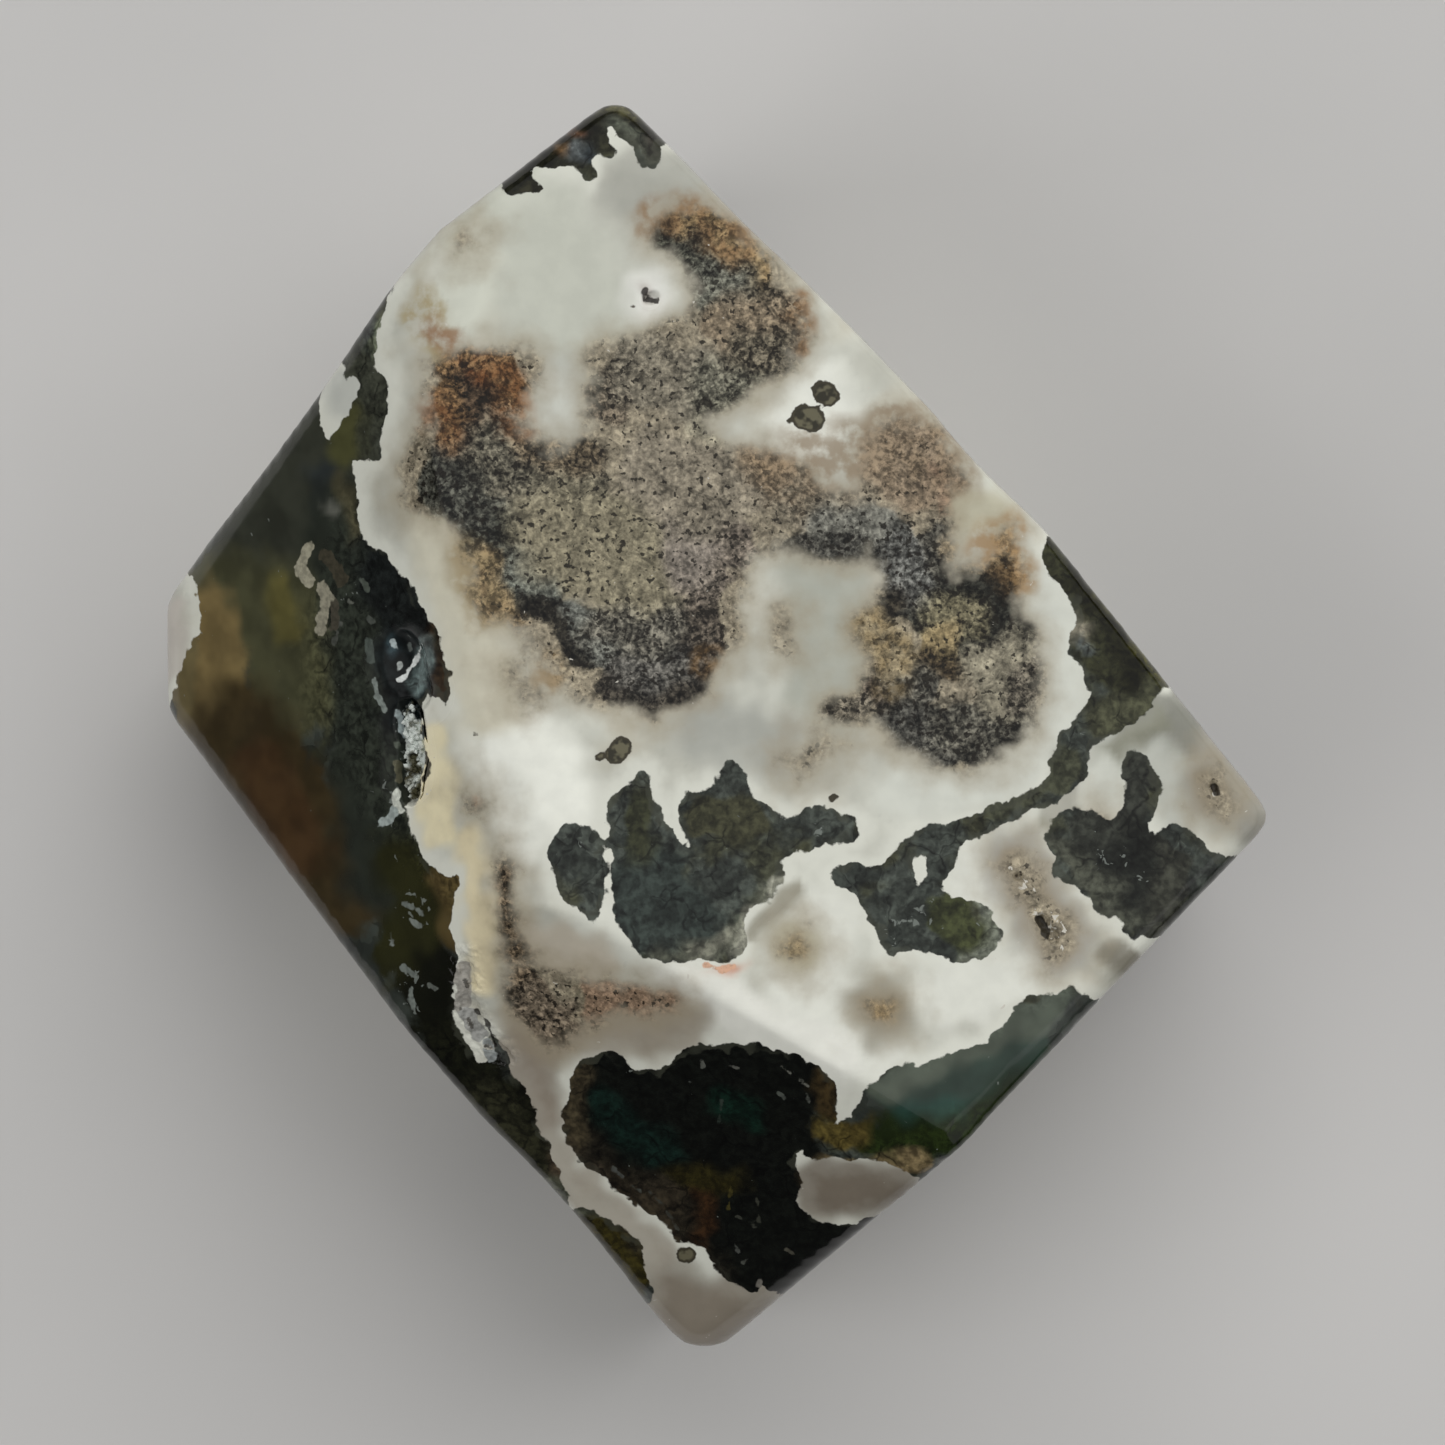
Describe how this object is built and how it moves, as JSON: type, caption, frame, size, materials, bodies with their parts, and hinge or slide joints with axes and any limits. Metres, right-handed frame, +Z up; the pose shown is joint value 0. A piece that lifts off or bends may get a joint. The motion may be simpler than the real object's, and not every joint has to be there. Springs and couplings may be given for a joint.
{
  "type": "moss agate freeform",
  "caption": "Palm-sized polished moss agate freeform with flat ground faces, soft edges, a flat base and a small crystal-lined hollow.",
  "frame": {"origin": "middle of the stone's box, on the plane that its flat base rests on", "axes": "+Z up out of the polished top, +Y towards the far tip (the top of the picture), +X to the right in the picture"},
  "size_m": [0.0616, 0.0692, 0.0299],
  "materials": {
    "agate": "polished, creamy grey-white with dark green and brown moss patches",
    "quartz_crust": "small glassy quartz crystals, grey-white"
  },
  "bodies": {
    "root": {"stone": "agate", "vug_crystals": "quartz_crust"}
  },
  "joints": []
}
